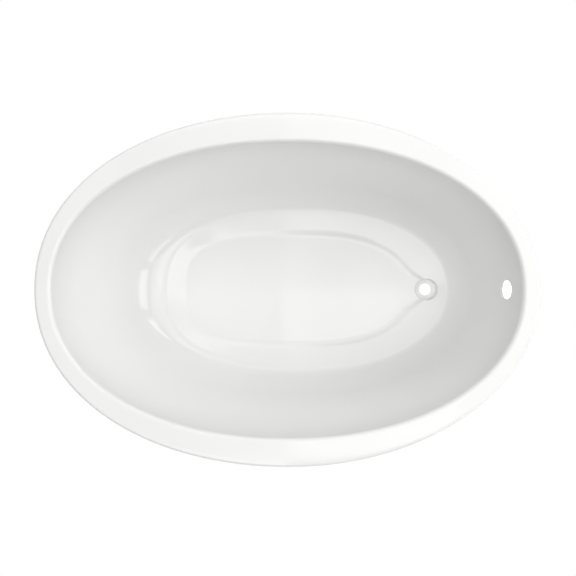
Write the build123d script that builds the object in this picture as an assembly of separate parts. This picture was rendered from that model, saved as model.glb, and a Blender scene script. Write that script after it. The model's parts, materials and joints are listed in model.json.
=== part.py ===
from build123d import *
import os
from math import atan2, cos, degrees, exp, hypot, pi, radians, sin, sqrt, tan

# Oval acrylic bathtub that stands on its own floor frame. Millimetres, +Z up.
# +X is the drain end and -X the head end. The origin is on the floor, under the middle of the rim.
# The basin hangs in a skirt: a bonded seam joins them under the rim, and a plywood board under the
# basin stands on a bolted steel frame with five screw feet.

# ---------------------------------------------------------------- driving dimensions
LENGTH = 1524.0                # over the rim
WIDTH = 1066.0                 # over the rim
HEIGHT = 584.0                 # floor to the top of the rim
FLOOR_HEIGHT = 130.0           # top of the basin's floor beside the drain
FLOOR_FALL = 8.0               # the basin's floor drops this much from its head end to the drain
RIM_SQUARENESS = (2.1, 2.0)    # superellipse exponents at the head end and at the drain end

ACRYLIC = 5.0                  # basin sheet
SKIRT_SHEET = 4.0              # skirt sheet
GLASS_FIBRE = 3.0              # laid up on the back of the basin
SKIRT_GLASS_FIBRE = 2.0        # laid up on the back of the skirt
BOND_GAP = 0.2                 # between a sheet and its glass fibre
LAMINATE_DROP = 6.0            # top of the glass fibre under the foot of the rim's roll

# opening of the basin, inside the rim
HEAD_DECK = 51.0               # width of the flat rim at the head end
DRAIN_DECK = 54.0              # at the drain end
SIDE_DECK = 87.0               # at the middle of each side
OPENING_SQUARENESS = (2.13, 2.13)
INNER_ROLL = 12.0              # radius from the rim into the basin
OUTER_ROLL = 10.0              # radius from the rim down its lip
LIP_DEPTH = 38.0               # height of the rim's outer edge

# foot of the wall, where the wall's fillet ends
HEAD_REACH = 254.0             # the backrest leans in this far from the opening
DRAIN_REACH = 111.0            # the drain end leans in this far
SIDE_REACH = 154.0             # each side leans in this far
FOOT_SQUARENESS = (2.5, 2.15)
FOOT_RISE = 30.0               # height of the fillet's foot over the drain-end floor
FOOT_FILLET = 110.0            # height of the fillet
FILLET_SHARE = 0.34            # of the wall's reach is taken up by that fillet
WALL_EASE = 120.0              # the wall turns from upright to its full lean over this height

# well in the floor, inside a sloping band
HEAD_BAND = 51.0               # width of the band at the head end
DRAIN_BAND = 126.0             # at the drain end, before the spout
SIDE_BAND = 67.0               # at the middle of each side
WELL_SQUARENESS = (3.1, 2.5)
WELL_RISE = 14.0               # top of the well's edge over the drain-end floor
WELL_DRAFT = 9.0               # the well's edge leans in this far
SPOUT_REACH = 90.0             # the well runs on towards the drain by this much
SPOUT_TIP = 4.0                # degrees, rounding of the spout's tip
SPOUT_ANGLE = 3.9              # degrees, how fast the spout narrows, seen from the well's centre

# drain and overflow
DRAIN_FROM_END = 232.0         # drain centre from the rim's outer edge
DRAIN_RADIUS = 23.8
RECESS_RADIUS = 41.0           # pocket for the waste's flange, above its drafted foot
RECESS_DEPTH = 6.0             # its seat under the floor
RECESS_DRAFT = 3.0             # its foot leans in this far over that depth
SEAT_MARGIN = 3.0              # bare ring round the back of that pocket
OVERFLOW_RADIUS = 29.5
OVERFLOW_DROP = 111.0          # overflow centre under the top of the rim

# skirt
FLOOR_GAP = 5.0                # under the skirt, at the feet's middle setting
SKIRT_INSET = 10.0             # skirt's outer face inside the rim's outer edge, at its top
SKIRT_TAPER = 112.0            # how much further it stands in at the floor
SKIRT_CURVE = 1.5              # 1 tapers straight, more keeps the upper part upright
BOND_THICKNESS = 2.0
BOND_MARGIN = 1.0              # bond's edges from the ends of the rim's flat underside
FLANGE_MARGIN = 2.0            # flange past the bond

# board under the basin
BOARD_HEAD_MARGIN = 80.0       # board's end from the well's edge
BOARD_DRAIN_MARGIN = 85.0
BOARD_SIDE_MARGIN = 45.0
BOARD_THICKNESS = 18.0
BOARD_CORNER = 40.0
BEDDING_MIN = 4.0              # thinnest part of the resin bed between basin and board
BED_MARGIN = 10.0              # bed stops short of the board's edge

# frame: three box-section tubes across, two flat bars along
TUBE_WIDTH = 40.0
TUBE_HEIGHT = 25.0
TUBE_WALL = 2.0
TUBE_CORNER = 3.0
TUBE_INSET = 45.0              # outer tubes' centres from the board's ends
TUBE_TO_SKIRT = 20.0           # least gap between the tubes' ends and the skirt
CAP_THICKNESS = 2.0
CAP_DEPTH = 10.0
CAP_CLEARANCE = 0.1
BAR_WIDTH = 30.0
BAR_THICKNESS = 4.0
BAR_SPACING = 240.0
BAR_TO_BLOCK = 35.0            # gap between a bar's end and the block that it is tied to

# fasteners
BOLT_RADIUS = 4.0
HOLE_CLEARANCE = 0.3           # between a bolt and its hole
BOLT_HEAD_FLATS = 13.0
BOLT_HEAD_HEIGHT = 5.3
BOLT_FLANGE_RADIUS = 8.5
BOLT_FLANGE_HEIGHT = 1.4
BOLT_END = 2.0                 # bolt past its nut
NUT_HEIGHT = 6.5
INSERT_WALL = 2.5              # of a blind-set insert nut, outside its thread
INSERT_HEIGHT = 15.0
INSERT_BULGE = 1.8
INSERT_CLEARANCE = 0.1
SCREW_RADIUS = 2.0
SCREW_HEAD_RADIUS = 4.5
SCREW_HEAD_HEIGHT = 2.6
SCREW_BITE = 12.0              # into wood
BOARD_SCREW_INSET = 20.0       # from the board's long edge

# feet
STUD_RADIUS = 6.0
STUD_CLEARANCE = 0.05          # running fit of the stud in its nuts
STUD_HOLE_CLEARANCE = 1.0      # in the tube's top wall and in the board
STUD_ABOVE_TUBE = 8.0
FOOT_INSET = 60.0              # a corner foot's axis from its tube's end
PAD_RADIUS = 27.0
PAD_HEIGHT = 15.0
PAD_EDGE = 5.0
PAD_HUB_RADIUS = 13.0
BALL_RADIUS = 8.0
BALL_BASE = 3.5                # bottom of the ball over the pad's sole
BALL_CLEARANCE = 0.3
STUD_NECK_RADIUS = 5.0
FOOT_HEX_FLATS = 19.0
STUD_HEX_BASE = 24.0
STUD_HEX_HEIGHT = 8.0
JAM_NUT_HEIGHT = 7.0

# ties from the frame to blocks on the skirt
TIE_WIDTH = 30.0
TIE_THICKNESS = 3.0
TIE_HEIGHT = 38.0
TIE_OVERLAP = 45.0             # along the tube or bar it is bolted to
TIE_BOLT_INSET = 20.0          # bolt from the tube's or bar's end
TIE_SCREW_SPACING = 16.0
BLOCK_WIDTH = 70.0
BLOCK_HEIGHT = 48.0
BLOCK_DEPTH = 18.0             # where it is thinnest
BLOCK_DROP = 6.0               # block's foot under its tie

POINTS = 40                    # spline points round an outline
CROWDING = 0.72                # how closely those points crowd towards the drain end
CUT = 4000.0                   # longer than the bath, for cutting right through

# ---------------------------------------------------------------- derived places
half_length = LENGTH / 2
drain_x = half_length - DRAIN_FROM_END
foot_z = FLOOR_HEIGHT + FOOT_RISE
well_z = FLOOR_HEIGHT + WELL_RISE
wall_height = HEIGHT - INNER_ROLL - foot_z


def polar_oval(half_x, half_y, squareness, angle):
    """Radius of a superellipse whose exponent runs from its head end to its drain end."""
    head, drain = squareness
    power = (drain + head) / 2 + (drain - head) / 2 * cos(angle)
    total = (abs(cos(angle)) / half_x) ** power + (abs(sin(angle)) / half_y) ** power
    return total ** (-1 / power)


def rim_point(angle):
    radius = polar_oval(half_length, WIDTH / 2, RIM_SQUARENESS, angle)
    return radius * cos(angle), radius * sin(angle)


def span_point(x_head, x_drain, half_y, squareness, angle):
    """Point of an oval given by its two ends on X and its half width."""
    centre = (x_head + x_drain) / 2
    radius = polar_oval((x_drain - x_head) / 2, half_y, squareness, angle)
    return centre + radius * cos(angle), radius * sin(angle)


opening_head = -half_length + HEAD_DECK
opening_drain = half_length - DRAIN_DECK
opening_half = WIDTH / 2 - SIDE_DECK
foot_head = opening_head + HEAD_REACH
foot_drain = opening_drain - DRAIN_REACH
foot_half = opening_half - SIDE_REACH
well_head = foot_head + HEAD_BAND
well_drain = foot_drain - DRAIN_BAND
well_half = foot_half - SIDE_BAND
well_centre = (well_head + well_drain) / 2


def opening_point(angle):
    return span_point(opening_head, opening_drain, opening_half, OPENING_SQUARENESS, angle)


def foot_point(angle):
    return span_point(foot_head, foot_drain, foot_half, FOOT_SQUARENESS, angle)


def well_point(angle):
    """Edge of the well: an oval with a spout that runs on to the drain."""
    radius = polar_oval((well_drain - well_head) / 2, well_half, WELL_SQUARENESS, angle)
    from_axis = degrees(atan2(sin(angle), cos(angle)))
    from_tip = hypot(from_axis, SPOUT_TIP) - SPOUT_TIP
    radius += SPOUT_REACH * exp(-from_tip / SPOUT_ANGLE)
    return well_centre + radius * cos(angle), radius * sin(angle)


def floor_plane(x):
    """Height of the basin's floor: a plane that falls from the well's head end to the drain."""
    return FLOOR_HEIGHT + FLOOR_FALL * (drain_x - x) / (drain_x - well_head)


def grown(point, offset):
    """The same outline, moved outwards along its own normal by a fixed distance."""
    step = 1e-4

    def moved(angle):
        x, y = point(angle)
        (xa, ya), (xb, yb) = point(angle - step), point(angle + step)
        run = hypot(xb - xa, yb - ya)
        return x + offset * (yb - ya) / run, y - offset * (xb - xa) / run

    return moved


def between(start, end, share):
    """Outline that lies a share of the way from one outline to another."""

    def mixed(angle):
        (xa, ya), (xb, yb) = start(angle), end(angle)
        return xa + (xb - xa) * share, ya + (yb - ya) * share

    return mixed


def narrowest(outer, inner):
    """Least distance between two outlines, one inside the other."""
    turns = [radians(a) for a in range(0, 181, 2)]
    return min(
        hypot(outer(a)[0] - inner(b)[0], outer(a)[1] - inner(b)[1]) for a in turns for b in turns
    )


def outline(point, height):
    """Closed spline through an outline. height is a number or a function of x."""
    ring = []
    for k in range(POINTS):
        turn = 2 * pi * k / POINTS
        angle = turn - CROWDING * sin(turn)
        x, y = point(angle)
        ring.append((x, y, height(x) if callable(height) else height))
    return Wire([Edge.make_spline(ring, periodic=True)])


def lofted(sections, ruled=False):
    return Solid.make_loft([outline(point, height) for point, height in sections], ruled)


def disc(radius, height, x=0.0, y=0.0, z=0.0):
    """Upright cylinder that stands on z."""
    return Pos(x, y, z) * Cylinder(radius, height, align=(Align.CENTER, Align.CENTER, Align.MIN))


def block(length, width, height, x=0.0, y=0.0, z=0.0):
    """Box centred on x and y that stands on z."""
    return Pos(x, y, z) * Box(length, width, height, align=(Align.CENTER, Align.CENTER, Align.MIN))


def hexagon(across_flats, height, x=0.0, y=0.0, z=0.0):
    """Six-sided prism that stands on z."""
    face = RegularPolygon(across_flats / sqrt(3), 6)
    return Pos(x, y, z) * extrude(face, height)


# ---------------------------------------------------------------- places of the hardware
skirt_top = HEIGHT - ACRYLIC - BOND_THICKNESS
bond_outer = OUTER_ROLL + BOND_MARGIN
bond_inner = narrowest(rim_point, opening_point) - INNER_ROLL - BOND_MARGIN
flange_inner = bond_inner + FLANGE_MARGIN


def skirt_inset(z):
    """How far the skirt's outer face stands inside the rim's outer edge at a height."""
    share = (skirt_top - z) / (skirt_top - FLOOR_GAP)
    return SKIRT_INSET + SKIRT_TAPER * max(0.0, share) ** SKIRT_CURVE


def skirt_reach(heading, start_x, lateral, half_width, z):
    """Least distance outwards from (start_x, 0) to the skirt's inside, over a width."""
    inside = grown(rim_point, -skirt_inset(z) - SKIRT_SHEET - SKIRT_GLASS_FIBRE - 2 * BOND_GAP)
    turn = radians(-heading)
    least = LENGTH
    for k in range(720):
        x, y = inside(radians(k / 2))
        along = (x - start_x) * cos(turn) - y * sin(turn)
        across = (x - start_x) * sin(turn) + y * cos(turn)
        if along > 0 and abs(across - lateral) < half_width:
            least = min(least, along)
    return least


board_head = well_head + BOARD_HEAD_MARGIN
board_drain = well_drain - BOARD_DRAIN_MARGIN
board_centre = (board_head + board_drain) / 2
board_half = well_half - BOARD_SIDE_MARGIN
board_top = floor_plane(board_drain) - ACRYLIC - GLASS_FIBRE - 2 * BOND_GAP - BEDDING_MIN
tube_top = board_top - BOARD_THICKNESS
tube_bottom = tube_top - TUBE_HEIGHT
bar_bottom = tube_bottom - BAR_THICKNESS

tube_places = {
    "head": board_head + TUBE_INSET,
    "middle": board_centre,
    "drain": board_drain - TUBE_INSET,
}
tube_half = -TUBE_TO_SKIRT + min(
    skirt_reach(90, x, 0, TUBE_WIDTH / 2 + 5, tube_bottom) for x in tube_places.values()
)
bar_places = {"left": BAR_SPACING / 2, "right": -BAR_SPACING / 2}
foot_y = tube_half - FOOT_INSET
foot_places = {
    "head_left": (tube_places["head"], foot_y),
    "head_right": (tube_places["head"], -foot_y),
    "centre": (tube_places["middle"], 0.0),
    "drain_left": (tube_places["drain"], foot_y),
    "drain_right": (tube_places["drain"], -foot_y),
}
screw_y = board_half - BOARD_SCREW_INSET
board_screws = [(x, side * screw_y) for x in tube_places.values() for side in (-1, 1)]


def end_reach(heading):
    """Distance from the middle tube to the thin side of the blocks at one end of the bath."""
    z = tube_bottom - BLOCK_DROP
    gap = BLOCK_WIDTH / 2 + 5
    return skirt_reach(heading, board_centre, BAR_SPACING / 2, gap, z) - BLOCK_DEPTH


bar_head = board_centre - end_reach(180) + BAR_TO_BLOCK
bar_drain = board_centre + end_reach(0) - BAR_TO_BLOCK


# ---------------------------------------------------------------- basin
def wall_share(depth):
    """How far the wall has leant in at a depth under the rim's roll, as a share of its reach."""
    lean = depth - WALL_EASE / 2 if depth > WALL_EASE else depth ** 2 / (2 * WALL_EASE)
    full = wall_height - WALL_EASE / 2
    into_fillet = max(0.0, (depth - (wall_height - FOOT_FILLET)) / FOOT_FILLET)
    curl = 1 - sqrt(max(0.0, 1 - into_fillet ** 2))
    return FILLET_SHARE * curl + (1 - FILLET_SHARE) * lean / full


def roll_sections(grow):
    """Quarter round from the flat rim into the wall."""
    radius = INNER_ROLL - grow
    top = HEIGHT - INNER_ROLL
    turns = [radians(a) for a in (90, 67.5, 45, 22.5, 0)]
    return [
        (grown(opening_point, INNER_ROLL - radius * cos(a)), top + radius * sin(a)) for a in turns
    ]


def wall_sections(grow):
    """Wall and the fillet at its foot, moved out from the inner face by grow."""
    straight = [0.0, WALL_EASE / 3, WALL_EASE * 2 / 3, WALL_EASE]
    fillet_top = wall_height - FOOT_FILLET
    straight += [WALL_EASE + (fillet_top - WALL_EASE) * k / 2 for k in (1, 2)]
    sections = []
    for depth in straight:
        point = between(opening_point, foot_point, wall_share(depth))
        sections.append((grown(point, grow), HEIGHT - INNER_ROLL - depth))
    for turn in (18, 36, 54, 72, 90):
        depth = fillet_top + FOOT_FILLET * sin(radians(turn))
        point = between(opening_point, foot_point, wall_share(depth))
        out = grow * cos(radians(turn))
        height = HEIGHT - INNER_ROLL - depth - grow * sin(radians(turn))
        sections.append((grown(point, out), height))
    return sections


def bowl(grow):
    """Solid filled by the basin's inside, grown outwards: 0 is the water space."""
    well_grow = grow * tan(pi / 8)
    lowered = grown(well_point, well_grow - WELL_DRAFT)
    parts = [
        lofted(wall_sections(grow)),
        lofted([(foot_point, foot_z - grow), (grown(well_point, well_grow), well_z - grow)], True),
        lofted(
            [
                (grown(well_point, well_grow), well_z - grow),
                (lowered, lambda x: floor_plane(x) - grow),
            ],
            True,
        ),
    ]
    solid = parts[0]
    for part in parts[1:]:
        solid = solid.fuse(part)
    return solid


def overflow_frame():
    """Place and inward direction of the overflow hole in the drain-end wall."""
    depth = OVERFLOW_DROP - INNER_ROLL
    x = between(opening_point, foot_point, wall_share(depth))(0.0)[0]
    step = 1.0
    lower = between(opening_point, foot_point, wall_share(depth + step))(0.0)[0]
    slope = (x - lower) / step
    run = hypot(1.0, slope)
    return Vector(x, 0, HEIGHT - OVERFLOW_DROP), Vector(-1.0 / run, 0, slope / run)


def recess(grow):
    """Round pocket for the waste's flange, sunk in the floor and let into the band round it."""
    low = floor_plane(drain_x) - RECESS_DEPTH - grow
    cone = Cone(RECESS_RADIUS - RECESS_DRAFT + grow, RECESS_RADIUS + grow, RECESS_DEPTH,
                align=(Align.CENTER, Align.CENTER, Align.MIN))
    upper = disc(RECESS_RADIUS + grow, foot_z - low - RECESS_DEPTH, drain_x, 0, low + RECESS_DEPTH)
    return (Pos(drain_x, 0, low) * cone).fuse(upper)


def holes():
    """Drain and overflow cutters."""
    place, inward = overflow_frame()
    drain = disc(DRAIN_RADIUS, FLOOR_HEIGHT, drain_x, 0, FLOOR_HEIGHT / 2)
    overflow = Plane(origin=place, z_dir=inward) * Cylinder(OVERFLOW_RADIUS, 60)
    return drain, overflow


def make_basin():
    """Formed acrylic sheet: flat rim with an outer lip, rolled edges, wall, band, well and recess."""
    lip_z = HEIGHT - LIP_DEPTH
    rim = lofted([(rim_point, lip_z), (rim_point, HEIGHT)], True)
    rim = rim.fillet(OUTER_ROLL, rim.edges().group_by(Axis.Z)[-1])
    inner_edge = grown(rim_point, -ACRYLIC)
    pocket = lofted([(inner_edge, lip_z), (inner_edge, HEIGHT - ACRYLIC)], True)
    pocket = pocket.fillet(OUTER_ROLL - ACRYLIC, pocket.edges().group_by(Axis.Z)[-1])
    outside = rim.cut(pocket).fuse(lofted(roll_sections(ACRYLIC)), bowl(ACRYLIC), recess(ACRYLIC))
    basin = outside.cut(lofted(roll_sections(0)), bowl(0), recess(0), *holes())
    return basin


def make_basin_laminate():
    """Glass fibre on the back of the basin, clear of the rim's roll and of the drain's seat."""
    inner = ACRYLIC + BOND_GAP
    top = HEIGHT - INNER_ROLL - LAMINATE_DROP
    shell = bowl(inner + GLASS_FIBRE).cut(block(2 * LENGTH, 2 * WIDTH, HEIGHT, z=top))
    seat = disc(RECESS_RADIUS + RECESS_DRAFT + ACRYLIC + SEAT_MARGIN, foot_z, drain_x)
    return shell.cut(bowl(inner)).cut(seat, holes()[1])


# ---------------------------------------------------------------- skirt
def skirt_solid(depth, bottom, top):
    """Solid inside the skirt's outer face, shrunk by depth, between two heights."""
    sections = []
    for share in (0, 0.2, 0.4, 0.6, 0.8, 1):
        z = bottom + (top - bottom) * share
        sections.append((grown(rim_point, -skirt_inset(z) - depth), z))
    return lofted(sections)


def ring(outer_inset, inner_inset, bottom, top):
    """Flat ring between two outlines inside the rim's outer edge."""
    outer = grown(rim_point, -outer_inset)
    inner = grown(rim_point, -inner_inset)
    return lofted([(outer, bottom), (outer, top)], True).cut(
        lofted([(inner, bottom - 1), (inner, top + 1)], True)
    )


def make_skirt():
    """Outer shell: one sheet with a flange turned in at its top."""
    shell = skirt_solid(0, FLOOR_GAP, skirt_top)
    hollow = skirt_solid(SKIRT_SHEET, FLOOR_GAP / 2, skirt_top - SKIRT_SHEET)
    mouth = grown(rim_point, -flange_inner)
    return shell.cut(hollow, lofted([(mouth, skirt_top - 2 * SKIRT_SHEET), (mouth, HEIGHT)], True))


def make_skirt_laminate():
    outer = SKIRT_SHEET + BOND_GAP
    low = FLOOR_GAP + 3
    high = skirt_top - SKIRT_SHEET - 8
    sheet = skirt_solid(outer, low, high)
    return sheet.cut(skirt_solid(outer + SKIRT_GLASS_FIBRE, low - 2, high + 2))


def make_rim_bond():
    """Adhesive between the skirt's flange and the flat underside of the rim."""
    return ring(bond_outer, bond_inner, skirt_top, skirt_top + BOND_THICKNESS)


# ---------------------------------------------------------------- board and bed
def board_prism(margin, bottom, top):
    """Rounded rectangle of the board, shrunk by a margin, between two heights."""
    length = board_drain - board_head - 2 * margin
    face = RectangleRounded(length, 2 * (board_half - margin), BOARD_CORNER - margin)
    return Pos(board_centre, 0, bottom) * extrude(face, top - bottom)


def make_bedding():
    """Resin bed that fills between the level board and the falling floor of the basin."""
    skin = ACRYLIC + GLASS_FIBRE + 2 * BOND_GAP
    low, high = board_head - BOARD_HEAD_MARGIN, board_drain + BOARD_DRAIN_MARGIN
    side = make_face(
        Polyline(
            (low, 0, board_top),
            (high, 0, board_top),
            (high, 0, floor_plane(high) - skin),
            (low, 0, floor_plane(low) - skin),
            close=True,
        ).edges()
    )
    wedge = extrude(side, WIDTH, dir=(0, 1, 0), both=True)
    return wedge & board_prism(BED_MARGIN, 0, HEIGHT)


def make_base_board():
    board = board_prism(0, board_top - BOARD_THICKNESS, board_top)
    board -= disc(STUD_RADIUS + STUD_HOLE_CLEARANCE, CUT, board_centre, 0, 0)
    for x, y in board_screws:
        board -= disc(SCREW_RADIUS, SCREW_BITE, x, y, tube_top)
    return board


# ---------------------------------------------------------------- frame
def make_tube(x):
    """Cross tube with its holes for feet, bars, board screws and ties."""
    outer = RectangleRounded(TUBE_WIDTH, TUBE_HEIGHT, TUBE_CORNER)
    inner = RectangleRounded(
        TUBE_WIDTH - 2 * TUBE_WALL, TUBE_HEIGHT - 2 * TUBE_WALL, TUBE_CORNER - TUBE_WALL
    )
    middle = tube_bottom + TUBE_HEIGHT / 2
    start = Plane(origin=(x, tube_half, middle), x_dir=(1, 0, 0), z_dir=(0, -1, 0))
    tube = extrude(start * (outer - inner), 2 * tube_half)
    for foot_x, y in foot_places.values():
        if foot_x == x:
            tube -= disc(insert_radius(STUD_RADIUS) + INSERT_CLEARANCE, 10, x, y, tube_bottom - 5)
            tube -= disc(STUD_RADIUS + STUD_HOLE_CLEARANCE, 10, x, y, tube_top - 5)
    for y in bar_places.values():
        tube -= disc(insert_radius(BOLT_RADIUS) + INSERT_CLEARANCE, 10, x, y, tube_bottom - 5)
    for screw_x, y in board_screws:
        if screw_x == x:
            tube -= disc(SCREW_RADIUS + HOLE_CLEARANCE, CUT, x, y, 0)
    for tie in ties.values():
        if tie.on_tube and x == board_centre:
            tube -= tie.place(disc(BOLT_RADIUS + HOLE_CLEARANCE, CUT, tie.bolt_at, 0, 0))
    return tube


def make_tube_caps():
    """Plastic plugs in the ends of the cross tubes."""
    caps = []
    room = TUBE_WALL + CAP_CLEARANCE
    middle = tube_bottom + TUBE_HEIGHT / 2
    for x in tube_places.values():
        for side in (-1, 1):
            end = side * tube_half
            plate = Box(TUBE_WIDTH, CAP_THICKNESS, TUBE_HEIGHT)
            plate = fillet(plate.edges().filter_by(Axis.Y), TUBE_CORNER)
            plug = Box(TUBE_WIDTH - 2 * room, CAP_DEPTH, TUBE_HEIGHT - 2 * room)
            plug = fillet(plug.edges().filter_by(Axis.Y), TUBE_CORNER - TUBE_WALL)
            hollow = Box(TUBE_WIDTH - 2 * room - 4, CAP_DEPTH + 2, TUBE_HEIGHT - 2 * room - 4)
            cap = Pos(x, end + side * CAP_THICKNESS / 2, middle) * plate
            cap += Pos(x, end - side * CAP_DEPTH / 2, middle) * plug
            cap -= Pos(x, end - side * (CAP_DEPTH / 2 + 1), middle) * hollow
            caps.append(cap)
    return caps


def make_bar(y):
    """Flat bar along the frame, under the three tubes."""
    middle = (bar_head + bar_drain) / 2
    bar = block(bar_drain - bar_head, BAR_WIDTH, BAR_THICKNESS, middle, y, bar_bottom)
    for x in tube_places.values():
        bar -= disc(BOLT_RADIUS + HOLE_CLEARANCE, CUT, x, y, 0)
    for tie in ties.values():
        if not tie.on_tube and tie.crosses(y):
            bar -= tie.place(disc(BOLT_RADIUS + HOLE_CLEARANCE, CUT, tie.bolt_at, 0, 0))
    return bar


def insert_radius(thread):
    return thread + INSERT_WALL


def insert_nut(thread, clearance, x, y):
    """Insert nut set flush in a tube's lower wall, with the bulge that grips the wall."""
    body = disc(insert_radius(thread), INSERT_HEIGHT, x, y, tube_bottom)
    body += disc(insert_radius(thread) + INSERT_BULGE, 3, x, y, tube_bottom + TUBE_WALL)
    return body - disc(thread + clearance, CUT, x, y, 0)


def make_foot_inserts():
    return [insert_nut(STUD_RADIUS, STUD_CLEARANCE, x, y) for x, y in foot_places.values()]


def make_bar_inserts():
    return [insert_nut(BOLT_RADIUS, 0, x, y) for x in tube_places.values() for y in bar_places.values()]


def bolt_head(x, y, z, up):
    """Hexagon head with its flange, standing on z or hanging from it."""
    flange = disc(BOLT_FLANGE_RADIUS, BOLT_FLANGE_HEIGHT)
    head = flange + hexagon(BOLT_HEAD_FLATS, BOLT_FLANGE_HEIGHT + BOLT_HEAD_HEIGHT)
    return Pos(x, y, z) * (head if up else Rot(180, 0, 0) * head)


def make_bar_bolts():
    """Bolts that hold the bars to the tubes, from below."""
    bolts = []
    for x in tube_places.values():
        for y in bar_places.values():
            shank = disc(BOLT_RADIUS, BAR_THICKNESS + INSERT_HEIGHT, x, y, bar_bottom)
            bolts.append(shank + bolt_head(x, y, bar_bottom, up=False))
    return bolts


def make_board_screws():
    """Screws up through the tubes into the board."""
    screws = []
    for x, y in board_screws:
        shank = disc(SCREW_RADIUS, TUBE_HEIGHT + SCREW_BITE, x, y, tube_bottom)
        head = Pos(x, y, tube_bottom) * Rot(180, 0, 0) * Cone(
            SCREW_HEAD_RADIUS, SCREW_HEAD_RADIUS * 0.6, SCREW_HEAD_HEIGHT,
            align=(Align.CENTER, Align.CENTER, Align.MIN),
        )
        screws.append(shank + head)
    return screws


# ---------------------------------------------------------------- ties to the skirt
class Tie:
    """Where one bracket ties the frame to the skirt, seen along its own outward direction."""

    def __init__(self, heading, lateral, base, end, on_tube):
        self.heading = heading
        self.lateral = lateral
        self.base = base
        self.end = end
        self.on_tube = on_tube
        self.bolt_at = end - TIE_BOLT_INSET
        reach = skirt_reach(heading, board_centre, lateral, BLOCK_WIDTH / 2 + 5, base - BLOCK_DROP)
        self.face = reach - BLOCK_DEPTH

    def place(self, shape):
        """Move a shape from the tie's own directions into the bath."""
        return Pos(board_centre, 0, 0) * Rot(0, 0, self.heading) * Pos(0, self.lateral, 0) * shape

    def crosses(self, y):
        """Whether the tie lies along the bar at y."""
        return abs(self.lateral * cos(radians(self.heading)) - y) < 1


def make_ties():
    """Two ties on the middle tube's ends and one on each end of each bar."""
    found = {
        "left": Tie(90, 0.0, tube_top, tube_half, True),
        "right": Tie(-90, 0.0, tube_top, tube_half, True),
    }
    for name, heading, end in (
        ("head", 180, board_centre - bar_head),
        ("drain", 0, bar_drain - board_centre),
    ):
        for side, y in bar_places.items():
            across = y * cos(radians(heading))
            found[f"{name}_{side}"] = Tie(heading, across, tube_bottom, end, False)
    return found


def make_tie(tie):
    """Steel angle: one leg bolted to the frame, one screwed to a block."""
    start = tie.end - TIE_OVERLAP
    leg = block(tie.face - start, TIE_WIDTH, TIE_THICKNESS, (start + tie.face) / 2, 0, tie.base)
    upright = block(TIE_THICKNESS, TIE_WIDTH, TIE_HEIGHT, tie.face - TIE_THICKNESS / 2, 0, tie.base)
    angle = leg + upright - disc(BOLT_RADIUS + HOLE_CLEARANCE, CUT, tie.bolt_at, 0, 0)
    for side in (-1, 1):
        hole = Rot(0, 90, 0) * Cylinder(SCREW_RADIUS + HOLE_CLEARANCE, 20)
        angle -= Pos(tie.face, side * TIE_SCREW_SPACING / 2, tie.base + TIE_HEIGHT * 0.6) * hole
    return tie.place(angle)


def make_tie_block(tie):
    """Wooden block shaped to the inside of the skirt and bonded there."""
    bottom = tie.base - BLOCK_DROP
    timber = tie.place(
        block(LENGTH / 4, BLOCK_WIDTH, BLOCK_HEIGHT, tie.face + LENGTH / 8, 0, bottom)
    )
    skin = SKIRT_SHEET + SKIRT_GLASS_FIBRE + 2 * BOND_GAP
    timber = timber & skirt_solid(skin, bottom - 10, bottom + BLOCK_HEIGHT + 10)
    for side in (-1, 1):
        hole = Rot(0, 90, 0) * Cylinder(SCREW_RADIUS, 2 * SCREW_BITE)
        height = tie.base + TIE_HEIGHT * 0.6
        timber -= tie.place(Pos(tie.face, side * TIE_SCREW_SPACING / 2, height) * hole)
    return timber


def make_tie_screws():
    screws = []
    for tie in ties.values():
        for side in (-1, 1):
            shank = disc(SCREW_RADIUS, TIE_THICKNESS + SCREW_BITE)
            head = Rot(180, 0, 0) * Cone(
                SCREW_HEAD_RADIUS, SCREW_HEAD_RADIUS * 0.6, SCREW_HEAD_HEIGHT,
                align=(Align.CENTER, Align.CENTER, Align.MIN),
            )
            spot = Pos(
                tie.face - TIE_THICKNESS,
                side * TIE_SCREW_SPACING / 2,
                tie.base + TIE_HEIGHT * 0.6,
            )
            screws.append(tie.place(spot * Rot(0, 90, 0) * (shank + head)))
    return screws


def tie_grip(tie):
    """Height of the surface under the tie's nut."""
    return tube_bottom if tie.on_tube else bar_bottom


def make_tie_bolts():
    bolts = []
    for tie in ties.values():
        top = tie.base + TIE_THICKNESS
        bottom = tie_grip(tie) - NUT_HEIGHT - BOLT_END
        shank = disc(BOLT_RADIUS, top - bottom, tie.bolt_at, 0, bottom)
        bolts.append(tie.place(shank + bolt_head(tie.bolt_at, 0, top, up=True)))
    return bolts


def make_tie_nuts():
    nuts = []
    for tie in ties.values():
        nut = hexagon(BOLT_HEAD_FLATS, NUT_HEIGHT, tie.bolt_at, 0, tie_grip(tie) - NUT_HEIGHT)
        nuts.append(tie.place(nut - disc(BOLT_RADIUS, CUT, tie.bolt_at, 0, 0)))
    return nuts


# ---------------------------------------------------------------- feet
def make_foot_pad(x, y):
    """Moulded pad with a hub that snaps over the stud's ball."""
    rim = disc(PAD_RADIUS, PAD_EDGE)
    slope = Pos(0, 0, PAD_EDGE) * Cone(
        PAD_RADIUS - 3, PAD_HUB_RADIUS, PAD_HEIGHT - PAD_EDGE,
        align=(Align.CENTER, Align.CENTER, Align.MIN),
    )
    pad = rim + slope
    ball_z = BALL_BASE + BALL_RADIUS
    pad -= Pos(0, 0, ball_z) * Sphere(BALL_RADIUS + BALL_CLEARANCE)
    return Pos(x, y, 0) * pad


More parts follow.
